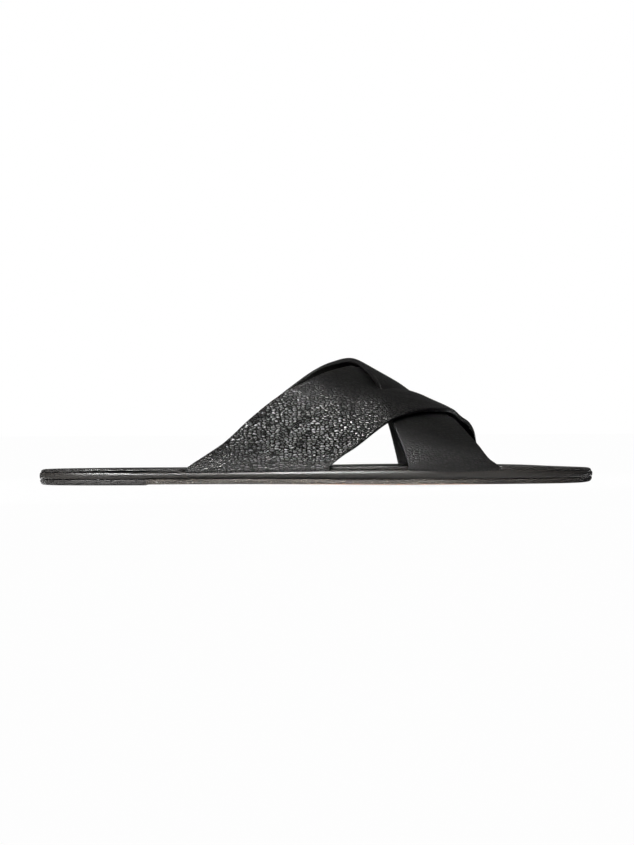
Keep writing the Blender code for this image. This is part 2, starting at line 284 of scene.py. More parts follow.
# The lights' places, and the points that they face
KEY_PLACE, KEY_AIM = (-0.50, -0.82, 0.60), (-0.054, -0.045, 0.002)
HEEL_LIGHT_PLACE, HEEL_LIGHT_AIM = (-0.9, -0.6, 0.7), (-0.115, -0.03, 0.008)
HEEL_LIGHT_REACH = 0.07
OVERHEAD_PLACE, OVERHEAD_AIM = (0.1, 0.2, 1.7), (0, 0, 0)
OVERHEAD_SIZE = (1.6, 1.2)

# The ground's half side, and how much of its own light the camera sees on it
GROUND_HALF = 12.0
GROUND_GLOW = 0.985

# The grain: how far the rows are bent, in pebbles, how many pebbles lie along each axis in the
# length of a round one, how far they stray from even rows, and the finest marks on them
PEBBLE_BEND = 0.35
PEBBLE_STRETCH = (0.8, 1.0, 1.7)
PEBBLE_STRAY = 0.75
FINEST_PER_METRE = 5200.0

# The bare line along the tread's edge: where along the sole it comes and goes, how high it may
# reach, and half the width of its border. Over the last span the stain darkens to the toe, as
# painted shade.
BARE_COMES, BARE_GOES = (-0.03, 0.02), (0.1, 0.06)
BARE_HEIGHT = 0.0008
BARE_BORDER = 0.00012
PAINTED_TOE_SHADE = (0.05, 0.11)

# The spacing of a finish's nodes
NODE_STEP = (40, -160)
NODE_ROWS = 5

# The smooth finishes. Columns: the skin's cells per metre, the colour's shades in the pores,
# where it is dark and where it is light, how strongly the pores show, the roughness from and
# to, the heights of the skin and of its slow waves, and the specular level.
SMOOTH_FINISHES = {
    "painted_cut_edge": (700.0, (0.5, 0.5, 1.1), 0.0, (0.42, 0.58), 0.00006, 0.0, 0.25),
    # Black lining; its shades lie below the outer leather's as painted shade on the inner face.
    "lining_leather": (1100.0, (0.3, 0.3, 0.8), 0.6, (0.50, 0.64), 0.00005, 0.0, 0.20),
    "footbed_leather": (700.0, (0.6, 1.0, 1.5), 0.5, (0.34, 0.46), 0.00001, 0.0003, 0.50),
    "tap_rubber": (600.0, (0.7, 0.7, 1.5), 0.0, (0.40, 0.52), 0.00001, 0.0, 0.30),
}


def length_property(name, description, default):
    """A length that a user may change."""
    return FloatProperty(name=name, description=description, unit="LENGTH", default=default)


def power_property(name, description, default):
    """A light's power that a user may change."""
    return FloatProperty(name=name, description=description, unit="POWER", default=default)


def colour_property(name, description, default):
    """A colour that a user may change."""
    return FloatVectorProperty(
        name=name,
        description=description,
        subtype="COLOR",
        size=3,
        min=0,
        max=1,
        default=default,
    )


class StrapLooks(bpy.types.PropertyGroup):
    """Looks of the straps."""

    colour: colour_property(
        "Leather", "Colour of the straps' leather", (0.0016, 0.0015, 0.0014)
    )
    pebble: length_property("Pebble", "Width of one pebble of the grain", 0.0018)
    relief: length_property("Relief", "Height of the grain's pebbles", 0.00038)
    edge_round: length_property("Edge rounding", "Radius of the cut edges' corners", 0.0005)
    edge_lift: length_property(
        "Edge lift", "How far a strap's free edge stands off the strap below it", 0.0001
    )
    edge_sink: length_property(
        "Pressed in", "How far the strap below gives way under that edge", 0.0009
    )
    lift_width: length_property(
        "Lift width", "How far in from the edge the lift fades out", 0.008
    )


class SoleLooks(bpy.types.PropertyGroup):
    """Looks of the sole's layers."""

    insole_colour: colour_property(
        "Insole", "Colour of the insole's leather", (0.0075, 0.0068, 0.0064)
    )
    rim_colour: colour_property("Rim", "Colour of the waxed rim", (0.0110, 0.0098, 0.0088))
    edge_colour: colour_property(
        "Sole edge", "Colour of the stain on the tread layer's edge", (0.0350, 0.0300, 0.0250)
    )
    tan_colour: colour_property(
        "Bare leather", "Colour of the unstained leather underneath", (0.42, 0.20, 0.095)
    )
    tap_colour: colour_property(
        "Heel tap", "Colour of the heel tap's rubber", (0.0120, 0.0112, 0.0106)
    )
    insole_dish: length_property(
        "Insole dish", "How far the insole's middle lies below its edge", 0.00035
    )


class StudioLooks(bpy.types.PropertyGroup):
    """Lights and ground."""

    key_power: power_property(
        "Key light", "Power of the light in front, on the heel's side", 3700.0
    )
    key_size: length_property("Key softness", "Radius of the key light's face", 0.22)
    key_reach: length_property(
        "Key reach", "Radius of the pool of light that the key throws on the sandal", 0.063
    )
    fill_power: power_property("Fill light", "Power of the broad light above", 0.6)
    side_power: power_property("Heel light", "Power of the light on the heel", 170.0)
    surround: FloatProperty(
        name="Surround",
        description="Brightness of the room that the leather reflects",
        default=0.11,
    )
    ground_colour: colour_property(
        "Ground", "Colour of the ground and the backdrop", (0.4, 0.4, 0.4)
    )


def cubic(t, start, end, leave, arrive):
    """The cubic from a start to an end with the given slopes there, for t from 0 to 1."""
    back = 1 - t
    return (
        start * (1 + 2 * t) * back**2
        + end * t * t * (3 - 2 * t)
        + leave * t * back**2
        - arrive * t * t * back
    )


def spline(table, column, at):
    """A smooth curve through one column of a table, read at the given shares.

    Each knot's slope is the weighted harmonic mean of its neighbours' slopes, 0 where they
    turn, and between knots runs the cubic that has the knots' heights and slopes."""
    knots = np.array([row[0] for row in table], float)
    values = np.array([row[column] for row in table], float)
    steps = np.diff(knots)
    slopes = np.diff(values) / steps
    inner = np.zeros(len(knots))
    rising = slopes[:-1] * slopes[1:] > 0
    left, right = 2 * steps[1:] + steps[:-1], steps[1:] + 2 * steps[:-1]
    safe = np.where(rising, slopes[:-1], 1), np.where(rising, slopes[1:], 1)
    inner[1:-1] = np.where(rising, (left + right) / (left / safe[0] + right / safe[1]), 0)
    inner[0], inner[-1] = slopes[0], slopes[-1]
    at = np.clip(np.asarray(at, float), knots[0], knots[-1])
    piece = np.clip(np.searchsorted(knots, at) - 1, 0, len(steps) - 1)
    step = steps[piece]
    leave, arrive = step * inner[piece], step * inner[piece + 1]
    return cubic((at - knots[piece]) / step, values[piece], values[piece + 1], leave, arrive)


def closed_curve(points):
    """A closed curve with even curvature through the points.

    It is the periodic cubic spline on the chords' lengths, whose second derivative is the same
    on both sides of every knot."""
    count = len(points)
    chords = np.linalg.norm(np.roll(points, -1, 0) - points, axis=1)
    before = np.roll(chords, 1)
    matrix = np.zeros((count, count))
    rows = np.arange(count)
    matrix[rows, rows] = 2 * (chords + before)
    matrix[rows, (rows - 1) % count] = chords
    matrix[rows, (rows + 1) % count] = before
    rise = (np.roll(points, -1, 0) - points) / chords[:, None]
    wanted = 3 * (rise * before[:, None] + np.roll(rise, 1, 0) * chords[:, None])
    slopes = np.linalg.solve(matrix, wanted)
    t = np.linspace(0, 1, OUTLINE_STEPS, endpoint=False)[None, :, None]
    start, end = points[:, None], np.roll(points, -1, 0)[:, None]
    slopes, chords = slopes[:, None], chords[:, None, None]
    leave, arrive = chords * slopes, chords * np.roll(slopes, -1, 0)
    return cubic(t, start, end, leave, arrive).reshape(-1, 2)


def sole_outline():
    """The outline's little-toe and big-toe sides, each from the heel's end to the toe's."""
    marks = np.array([(along * LENGTH, across * width / 2) for along, width, across in OUTLINE])
    curve = closed_curve(marks)
    low, high = curve.min(0), curve.max(0)
    curve = (curve - (low + high) / 2) * (LENGTH, BALL_WIDTH) / (high - low)
    curve = np.roll(curve, -int(curve[:, 0].argmin()), 0)
    toe = int(curve[:, 0].argmax())
    little = curve[: toe + 1]
    big = np.vstack([curve[toe:], curve[:1]])[::-1]
    return little, big


LITTLE_SIDE, BIG_SIDE = sole_outline()


def share(x):
    """The share of LENGTH from the heel end."""
    return np.asarray(x) / LENGTH + 0.5


def edge_y(x, side):
    """Where the sole's edge is at x: side is -1 for the little-toe side and 1 for the other."""
    edge = LITTLE_SIDE if side < 0 else BIG_SIDE
    return np.interp(x, edge[:, 0], edge[:, 1])


# The heights of the layers' faces at x. Each layer adds its thickness to the one below, and
# FIT_GAP lies between two layers.


def spring(x):
    return TOE_SPRING * spline(SPRING_PROFILE, 1, share(x))


def tread_bottom(x):
    return ARCH_LIFT * spline(ARCH_PROFILE, 1, share(x)) + spring(x)


def tread_top(x):
    return tread_bottom(x) + TREAD_THICKNESS


def midsole_bottom(x):
    return tread_top(x) + FIT_GAP


def midsole_top(x):
    return midsole_bottom(x) + MIDSOLE_THICKNESS * spline(MIDSOLE_PROFILE, 1, share(x))


def insole_bottom(x):
    return midsole_top(x) + FIT_GAP


def insole_top(x):
    return insole_bottom(x) + INSOLE_THICKNESS


def smooth_step(t):
    """Three t squared less two t cubed, from 0 to 1, and flat outside."""
    t = np.clip(t, 0, 1)
    return t * t * (3 - 2 * t)


def quarter_turn(steps):
    """Angles from 0 to a right angle."""
    return np.linspace(0, np.pi / 2, steps + 1)


def strap_edges(way, slit_strap):
    """A strap's rear and front edge, in metres, at a share of its way round the instep."""
    table = SLIT_STRAP_EDGES if slit_strap else PLAIN_STRAP_EDGES
    rear = (spline(table, 1, way) - 0.5) * LENGTH
    front = (spline(table, 2, way) - 0.5) * LENGTH
    return rear, front


def instep_point(x, turn):
    """A point inside the straps, at a turn of -1 at the little-toe edge, 0 on the ridge and 1
    opposite. Across the instep the section is a quarter wave on each side of the ridge: the
    sideways distance is the foot's times the sine, and the height the ridge's times the
    cosine, raised to SECTION_POWER."""
    middle = spline(RIDGE, 2, share(x)) * BALL_WIDTH / 2
    height = spline(RIDGE, 1, share(x)) * INSTEP_HEIGHT
    foot = np.where(turn < 0, edge_y(x, -1) + STRAP_THICKNESS, edge_y(x, 1) - STRAP_THICKNESS)
    angle = np.abs(turn) * np.pi / 2
    y = middle + (foot - middle) * np.sin(angle)
    z = insole_top(x) + height * np.clip(np.cos(angle), 0, 1) ** SECTION_POWER
    return np.stack([x, y, z], -1)


def crossing_rise(x, turn, slit_strap, looks):
    """How far a strap lies off the instep where the straps cross.

    The slit strap is over the plain one on its front half, and under it on its rear half, and
    they trade places along the slit. The strap on top is a whole thickness up. Towards its
    free edge it lifts a little more, and there the strap below is pressed in, so a shadow
    shows between them."""
    slit_rear, slit_front = strap_edges(turn, True)
    plain_rear, plain_front = strap_edges(-turn, False)
    across = (x - slit_rear) / (slit_front - slit_rear)
    slit_on_top = smooth_step((across - 0.5) / (2 * SLIT_RAMP) + 0.5)
    if slit_strap:
        rear, front, wins = plain_rear, plain_front, slit_on_top
        own_edge, other_edge = slit_front - x, x - plain_rear
    else:
        rear, front, wins = slit_rear, slit_front, 1 - slit_on_top
        own_edge, other_edge = x - plain_rear, slit_front - x
    outside = np.maximum(np.maximum(rear - x, x - front), 0) * EDGE_SLANT
    covered = 1 - smooth_step(outside / EDGE_EASE)
    lift = 1 - smooth_step(own_edge * EDGE_SLANT / looks.lift_width)
    sink = 1 - smooth_step(np.abs(other_edge) * EDGE_SLANT / looks.lift_width)
    top = STRAP_THICKNESS + looks.edge_lift * lift
    return covered * (top * wins - looks.edge_sink * sink * (1 - wins))


def fold_rise(way, across, width, slit_strap):
    """The folds' height: for each row of FOLDS, a bell of its own length, width and turn."""
    rise = np.zeros_like(across)
    for strap, at, place, turned, length, breadth, height in FOLDS:
        if strap != slit_strap:
            continue
        along = (way - at) * HALF_WAY_LENGTH
        sideways = (across - place) * width
        angle = np.radians(turned)
        down = along * np.cos(angle) + sideways * np.sin(angle)
        over = sideways * np.cos(angle) - along * np.sin(angle)
        rise += height * np.exp(-((down / length) ** 2) - (over / breadth) ** 2)
    return rise


def unit(vectors):
    """The vectors divided by their lengths."""
    return vectors / np.linalg.norm(vectors, axis=-1, keepdims=True)


def grid_normals(grid):
    """Unit normals of a grid of points, one for each point."""
    along, across = np.gradient(grid, axis=0), np.gradient(grid, axis=1)
    return unit(np.cross(across, along))


def tucked_rows(x, side, drop):
    """The rows of a strap's foot, from the insole's top down its edge and in under it.

    Each row is the strap's inner face, and its thickness, which is skived away round the bend:
    a quarter circle from straight down to straight inwards. The drop is how much lower than
    the insole's underside the middle of the foot bends, and it fades to 0 at its edges."""
    edge = edge_y(x, side) - side * STRAP_THICKNESS
    corner = insole_bottom(x) - drop * np.sin(np.linspace(0, np.pi, len(x)))
    angle = quarter_turn(BEND_STEPS)[:, None]
    thin = np.linspace(STRAP_THICKNESS, SKIVED_THICKNESS, BEND_STEPS + 1)
    reach = np.array([0.5, 1.0])[:, None] * TUCK_LENGTH
    inward = np.vstack([[[0.0]], TUCK_BEND * (1 - np.cos(angle)), reach])
    start = [[-INSOLE_THICKNESS / 2]]
    down = np.vstack([start, TUCK_BEND * np.sin(angle), TUCK_BEND + 0 * reach])
    thick = np.concatenate([[STRAP_THICKNESS], thin, [SKIVED_THICKNESS] * 2])
    rows = np.stack([x + 0 * inward, edge - side * inward, corner - down], -1)
    rows[0, :, 2] = insole_bottom(x) + INSOLE_THICKNESS / 2
    return rows, thick


def strap_section(slit_strap, looks):
    """A strap's closed section at every row, and which side of the strap each point is on.

    The inner face is the instep's surface with the crossing's rise and the folds added along
    its normal, and the outer face lies a thickness outside it. The corners of the cut edges
    are quarter circles. Sides: 0 is the outer face, 1 a cut edge and 2 the inner face. The
    third result is the share of the grain's relief that is left at each row."""
    turns = np.linspace(-1, 1, STRAP_ROWS)[:, None]
    ways = turns if slit_strap else -turns
    rear, front = strap_edges(ways, slit_strap)
    width = front - rear
    inset = looks.edge_round / width
    between = inset + (1 - 2 * inset) * np.linspace(0, 1, STRAP_COLUMNS)[None]
    across = np.concatenate([0 * inset, between, 0 * inset + 1], 1)
    x = rear + width * across
    turn = turns + 0 * across
    base = instep_point(x, turn)
    rise = crossing_rise(x, turn, slit_strap, looks)
    rise = rise + fold_rise(ways, across, width, slit_strap)
    fade = smooth_step((1 - np.abs(turn)) / FOOT_FADE)
    grid = base + grid_normals(base) * (rise * fade)[..., None]
    first, first_thick = tucked_rows(grid[0, :, 0], -1, 0 if slit_strap else FOOT_DROP)
    last, last_thick = tucked_rows(grid[-1, :, 0], 1, FOOT_DROP if slit_strap else 0)
    grid = np.concatenate([first[::-1], grid, last])
    thick = np.concatenate([first_thick[::-1], np.full(STRAP_ROWS, STRAP_THICKNESS), last_thick])
    thick = thick[:, None, None]
    normal = grid_normals(grid)
    outer = grid + normal * thick

    def corner(edge, beside):
        """Both quarter circles of a cut edge, from the outer face round to the inner one."""
        away = unit(grid[:, edge] - grid[:, beside])
        bend = looks.edge_round
        angle = quarter_turn(CORNER_STEPS)[None, :, None]
        out = np.concatenate([np.sin(angle[:, 1:]), np.cos(angle[:, :-1])], 1) * bend - bend
        upper_bend = thick - bend + bend * np.cos(angle[:, 1:])
        lower_bend = bend - bend * np.sin(angle[:, :-1]) + 0 * thick
        up = np.concatenate([upper_bend, lower_bend], 1)
        return grid[:, edge, None] + away[:, None] * out + normal[:, edge, None] * up

    front_corner = corner(-1, -2)
    rear_corner = corner(0, 1)[:, ::-1]
    loop = [outer[:, 1:-1], front_corner, grid[:, -2:0:-1], rear_corner]
    turned, paint = [0] * CORNER_STEPS, [1] * CORNER_STEPS
    sides = [0] * STRAP_COLUMNS + turned + paint + [2] * STRAP_COLUMNS + paint + turned
    left = spline(GRAIN_LEFT, 1 if slit_strap else 2, ways[:, 0])
    left = np.concatenate([np.full(len(first), left[0]), left, np.full(len(last), left[-1])])
    return np.concatenate(loop, 1), np.array(sides), left


def outline_ring(stations, inset):
    """The outline's two sides at the stations, moved inwards along the outline's normal."""
    sides = []
    inset = np.broadcast_to(np.asarray(inset, float), (2, len(stations)))
    for edge, sign, depth in ((LITTLE_SIDE, 1, inset[0]), (BIG_SIDE, -1, inset[1])):
        run = unit(np.gradient(edge, axis=0))
        y = np.interp(stations, edge[:, 0], edge[:, 1])
        way = unit(np.stack([np.interp(stations, edge[:, 0], run[:, k]) for k in (0, 1)], -1))
        inwards = np.stack([-way[:, 1], way[:, 0]], -1) * sign
        sides.append(np.stack([stations, y], -1) + inwards * depth[:, None])
    little, big = sides
    for end, sign in ((0, 1), (-1, -1)):
        if abs(stations[end]) >= LENGTH / 2:
            middle = (little[end, 1] + big[end, 1]) / 2
            little[end] = big[end] = (stations[end] + sign * inset[0, end], middle)
    return little, big


def sole_stations(start, end):
    """Places along the sole, closer together towards its round ends, between two limits."""
    every = -np.cos(np.linspace(0, np.pi, SOLE_STATIONS)) * LENGTH / 2
    space = LENGTH / SOLE_STATIONS / 4
    low = start if start <= HEEL_END else start + space
    high = end if end >= TOE_END else end - space
    return np.concatenate([[start], every[(every > low) & (every < high)], [end]])


def even(value):
    """A size that is the same all along the sole."""
    return lambda x: value + 0 * x


def footbed_seat(x):
    """The footbed's underside, just off the midsole, and a little more between heel and strap."""
    off_middle = (share(x) - SEAM_MIDDLE) / SEAM_SPREAD
    return midsole_top(x) + SEAM_WIDTH + SEAM_GAP * np.exp(-(off_middle**2))


def end_round(small, large):
    """A rounding for a layer's edge: small along the sides, and large at the heel and the toe."""

    def near_end(x):
        return smooth_step(1 - (LENGTH / 2 - np.abs(x)) / END_REACH)

    return lambda x: small + (large - small) * near_end(x)


def rounded_side(bottom, top, inset, low_round, high_round):
    """A layer's side from its underside to its top: a quarter circle, a wall, a quarter circle.

    A level is a function for the inset from the outline and one for the height. The circles'
    radii are functions of the place along the sole. Where the upper one would be taller than
    most of the layer, it is a flatter quarter ellipse."""

    def drop(x):
        return np.minimum(high_round(x), (top(x) - bottom(x)) * MOST_ROUND)

    def low(angle):
        return (
            lambda x: inset(x) + low_round(x) * (1 - np.sin(angle)),
            lambda x: bottom(x) + low_round(x) * (1 - np.cos(angle)),
        )

    def high(angle):
        return (
            lambda x: inset(x) + high_round(x) * (1 - np.cos(angle)),
            lambda x: top(x) - drop(x) * (1 - np.sin(angle)),
        )

    levels = [low(angle) for angle in quarter_turn(CORNER_STEPS)]
    return levels + [high(angle) for angle in quarter_turn(TOP_STEPS)]


def rim_side():
    """The midsole's side: a soft shoulder over a slightly hollow foot that ends in the groove.

    The shoulder is a quarter ellipse, as wide as RIM_PROFILE says and wider at the round ends,
    and the foot falls back by the square of the way down from the widest line to the groove."""

    def wide(x):
        return spline(RIM_PROFILE, 1, share(x))

    def level(inset, at_ends, part):
        return (
            lambda x: inset * wide(x) + end_round(0, at_ends)(x),
            lambda x: midsole_bottom(x) + (midsole_top(x) - midsole_bottom(x)) * part,
        )

    ups = np.linspace(0, 1, RIM_FOOT_ROWS)
    foot = [level(RIM_TUCK * (1 - t) ** 2, 0, t * RIM_FULLEST) for t in ups]
    shoulder = []
    for angle in quarter_turn(RIM_SHOULDER_STEPS)[1:]:
        fall, part = 1 - np.cos(angle), RIM_FULLEST + (1 - RIM_FULLEST) * np.sin(angle)
        shoulder.append(level(RIM_ROUND * fall, RIM_END_ROUND * fall, part))
    return foot + shoulder


def layer_section(start, end, levels, dish=0.0):
    """A sole layer's closed section at every station, and how much of a side each point is.

    The section runs across the underside, up the big-toe side through the levels, back across
    the top, which is lower in the middle by the dish, and down the little-toe side."""
    stations = sole_stations(start, end)
    little, big = [], []
    for inset, height in levels:
        for ring, side in zip(outline_ring(stations, inset(stations)), (little, big)):
            side.append(np.column_stack([ring, height(ring[:, 0])]))
    little, big = np.stack(little, 1), np.stack(big, 1)
    t = np.linspace(0, 1, SOLE_COLUMNS)[None, :, None]
    under = little[:, :1] + (big[:, :1] - little[:, :1]) * t
    over = big[:, -1:] + (little[:, -1:] - big[:, -1:]) * t
    reach = np.abs(big[:, -1, 1] - little[:, -1, 1])[:, None]
    from_edge = np.minimum(t[..., 0], 1 - t[..., 0]) * reach
    over[..., 2] -= dish * smooth_step(from_edge / DISH_FADE)
    loop = [under, big[:, 1:-1], over, little[:, -2:0:-1]]
    wall = np.ones(len(levels) - 2)
    side = np.concatenate([np.zeros(SOLE_COLUMNS), wall, np.ones(SOLE_COLUMNS), wall])
    return np.concatenate(loop, 1), side


def in_scene(name, data):
    """A new object with the data, linked to the scene."""
    made = bpy.data.objects.new(name, data)
    bpy.context.scene.collection.objects.link(made)
    return made


def closed_piece(name, section, closed_ends, marks):
    """A closed mesh from a section at every row, with its faces turned outwards.

    Each pair of rows is joined by quads. Where the volume that the faces enclose, the sum of
    their corners' triple products, comes out negative, every face is turned over. The marks
    are numbers for the points, for a finish to read."""
    rows, count = section.shape[:2]
    index = np.arange(rows * count).reshape(rows, count)
    beside = np.roll(index, -1, 1)
    quads = np.stack([index[:-1], beside[:-1], beside[1:], index[1:]], -1).reshape(-1, 4)
    faces = quads.tolist()
    if closed_ends[0]:
        faces.append(index[0, ::-1].tolist())
    if closed_ends[1]:
        faces.append(index[-1].tolist())
    points = section.reshape(-1, 3)
    a, b, c, d = (points[quads[:, k]] for k in range(4))
    volume = np.einsum("ij,ij->", a, np.cross(b, c)) + np.einsum("ij,ij->", a, np.cross(c, d))
    if volume < 0:
        faces = [face[::-1] for face in faces]
    mesh = bpy.data.meshes.new(name)
    mesh.from_pydata(points.tolist(), [], faces)
    for mark, values in marks.items():
        layer = mesh.attributes.new(mark, "FLOAT", "POINT")
        layer.data.foreach_set("value", np.asarray(values, np.float32).ravel())
    return in_scene(name, mesh)


def smooth(made, sharp_from):
    """Shades all but the sharp edges smooth."""
    made.data.shade_smooth()
    made.data.set_sharp_from_angle(angle=np.radians(sharp_from))


def carry(made, node):
    """Fastens a finished piece to the sandal and hides the solid that it stands for."""
    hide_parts(node)
    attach(made, "root")


def sole_piece(name, node, section, finish, closed_ends=(False, False), marks=None):
    """A finished layer of the sole, with its points merged where they meet at the round ends."""
    made = closed_piece(name, section, closed_ends, marks or {})
    work = bmesh.new()
    work.from_mesh(made.data)
    bmesh.ops.remove_doubles(work, verts=work.verts, dist=MERGE_WITHIN)
    bmesh.ops.dissolve_degenerate(work, edges=work.edges, dist=SLIVER)
    work.to_mesh(made.data)
    work.free()
    smooth(made, SOLE_SHARP)
    made.data.materials.append(finish)
    carry(made, node)


class Nodes:
    """Short calls for building a node tree from left to right."""

    def __init__(self, tree):
        self.tree = tree

    def put(self, inputs, values):
        """Links or sets inputs, by name or number."""
        for key, value in values.items():
            if isinstance(value, bpy.types.NodeSocket):
                self.tree.links.new(value, inputs[key])
            else:
                inputs[key].default_value = value

    def add(self, kind, values=None, **settings):
        """A node of a kind, with its settings and its inputs."""
        node = self.tree.nodes.new("ShaderNode" + kind)
        place = len(self.tree.nodes)
        node.location = (place * NODE_STEP[0], place % NODE_ROWS * NODE_STEP[1])
        for key, value in settings.items():
            setattr(node, key, value)
        self.put(node.inputs, values or {})
        return node

    def group(self, tree, values):
        """A shared effect's outputs, by name."""
        return self.add("Group", values, node_tree=tree).outputs

    def attribute(self, name):
        """A number stored at the points of the mesh."""
        return self.add("Attribute", attribute_name=name).outputs["Fac"]

    def product(self, a, b):
        return self.add("Math", {0: a, 1: b}, operation="MULTIPLY").outputs[0]

    def less(self, a, b):
        return self.add("Math", {0: a, 1: b}, operation="SUBTRACT").outputs[0]

    def line(self, value, slope, start):
        """A value times a slope, plus a start."""
        values = {0: value, 1: slope, 2: start}
        return self.add("Math", values, operation="MULTIPLY_ADD").outputs[0]

    def vector(self, operation, a, b):
        """Two vectors added, subtracted or multiplied."""
        return self.add("VectorMath", {0: a, 1: b}, operation=operation).outputs[0]

    def times(self, vector, scale):
        """A vector multiplied by one number."""
        return self.add("VectorMath", {0: vector, "Scale": scale}, operation="SCALE").outputs[0]

    def stretched(self, vector, scales):
        """The coordinates scaled along each axis, for streaks."""
        return self.add("Mapping", {"Vector": vector, "Scale": scales}).outputs[0]

    def blend(self, factor, a, b):
        """A colour between two colours."""
        return self.add("Mix", {"Factor": factor, 6: a, 7: b}, data_type="RGBA").outputs[2]

    def ramp(self, value, low, high, to_low=0.0, to_high=1.0):
        """A smooth step of the value from one limit to the other."""
        values = {0: value, 1: low, 2: high, 3: to_low, 4: to_high}
        return self.add("MapRange", values, interpolation_type="SMOOTHSTEP").outputs[0]

    def noise(self, vector, scale, detail=3.0, roughness=0.55):
        values = {"Vector": vector, "Scale": scale, "Detail": detail, "Roughness": roughness}
        return self.add("TexNoise", values).outputs["Fac"]

    def cells(self, vector, randomness=1.0):
        """Irregular cells one unit wide: the distance to the border, and a colour for each."""
        values = {"Vector": vector, "Scale": 1.0, "Randomness": randomness}
        border = self.add("TexVoronoi", values, feature="DISTANCE_TO_EDGE").outputs["Distance"]
        return border, self.add("TexVoronoi", values).outputs["Color"]

    def bump(self, height, distance, strength=1.0, over=None):
        """The relief of a height, laid over another relief where one is given."""
        values = {"Height": height, "Distance": distance, "Strength": strength}
        if over is not None:
            values["Normal"] = over
        return self.add("Bump", values).outputs[0]


def shade(colour, by=1.0):
    """A darker or lighter shade of a colour."""
    return (*(min(part * by, 1.0) for part in colour), 1.0)


def effect_group(name, inputs, outputs, fill):
    """A shader node group that is filled once and shared by the finishes that use it."""
    if name in bpy.data.node_groups:
        return bpy.data.node_groups[name]
    group = bpy.data.node_groups.new(name, "ShaderNodeTree")
    for label, value in {"Vector": (0.0, 0.0, 0.0), **inputs}.items():
        kind = "NodeSocketVector" if isinstance(value, tuple) else "NodeSocketFloat"
        socket = group.interface.new_socket(label, in_out="INPUT", socket_type=kind)
        socket.default_value = value
    for label in outputs:
        group.interface.new_socket(label, in_out="OUTPUT", socket_type="NodeSocketFloat")
    nodes = Nodes(group)
    given = group.nodes.new("NodeGroupInput").outputs
    nodes.put(group.nodes.new("NodeGroupOutput").inputs, fill(nodes, given))
    return group


def pebbled_grain():
    """Pebbled grain: rounded cells of unlike sizes with creases between them.

    The height is a low dome over each cell that drops steeply into a narrow crease at its
    border, on coordinates that noise has shifted so that no border is straight. Each pebble
    also has a number of its own."""

    def fill(nodes, given):
        cells = nodes.times(given["Vector"], given["Cells per metre"])
        drift = {"Vector": cells, "Scale": 0.6, "Detail": 2.0}
        drift = nodes.add("TexNoise", drift).outputs["Color"]
        centred = nodes.vector("SUBTRACT", drift, (0.5, 0.5, 0.5))
        moved = nodes.vector("ADD", cells, nodes.times(centred, PEBBLE_BEND))
        bent = nodes.stretched(moved, PEBBLE_STRETCH)
        border, own = nodes.cells(bent, PEBBLE_STRAY)
        top = nodes.ramp(border, 0.02, 0.24)
        dome = nodes.add("Math", {0: nodes.ramp(border, -0.05, 0.55)}, operation="SQRT").outputs[0]
        height = nodes.line(dome, 0.65, nodes.product(top, 0.35))
        height = nodes.line(nodes.noise(bent, 2.4, 2.0), 0.05, height)
        return {
            "Height": nodes.line(nodes.noise(cells, 0.22, 2.0), 0.05, height),
            "Crease": nodes.less(1.0, top),
            "Pebble": nodes.add("SeparateColor", {0: own}).outputs[0],
            "Tone": nodes.noise(given["Vector"], 55.0, 3.0),
        }

    outputs = ("Height", "Crease", "Pebble", "Tone")
    return effect_group("pebbled_grain", {"Cells per metre": 480.0}, outputs, fill)


def fine_skin():
    """Smooth leather: very fine cells, pores, and a slow change of tone."""

    def fill(nodes, given):
        cells = nodes.times(given["Vector"], given["Cells per metre"])
        border, _ = nodes.cells(cells)
        grit = nodes.noise(cells, 1.7, 3.0)
        return {
            "Height": nodes.line(grit, 0.4, nodes.ramp(border, 0.0, 0.22)),
            "Pores": nodes.ramp(nodes.noise(cells, 0.45, 2.0), 0.62, 0.72),
            "Tone": nodes.noise(given["Vector"], 38.0, 4.0),
        }

    outputs = ("Height", "Pores", "Tone")
    return effect_group("fine_skin", {"Cells per metre": 1400.0}, outputs, fill)


def cut_fibres():
    """Cut leather seen edge on: streaks along the sole, broken by short scratches."""

    def fill(nodes, given):
        vector = nodes.vector("MULTIPLY", given["Vector"], given["Stretch"])
        fine = nodes.noise(vector, 900.0, 3.0, 0.6)
        return {
            "Height": nodes.line(fine, 0.5, nodes.noise(vector, 260.0, 5.0, 0.7)),
            "Loose": nodes.ramp(fine, 0.55, 0.72),
            "Tone": nodes.noise(given["Vector"], 30.0, 4.0),
        }

    outputs = ("Height", "Loose", "Tone")
    return effect_group("cut_fibres", {"Stretch": (1.0, 1.0, 3.0)}, outputs, fill)


def new_finish(name):
    """A material with a Principled shader, and calls for building its nodes."""
    finish = bpy.data.materials.new(name)
    finish.use_nodes = True
    nodes = Nodes(finish.node_tree)
    shader = finish.node_tree.nodes["Principled BSDF"]
    return finish, nodes, shader, nodes.add("TexCoord").outputs["Object"]


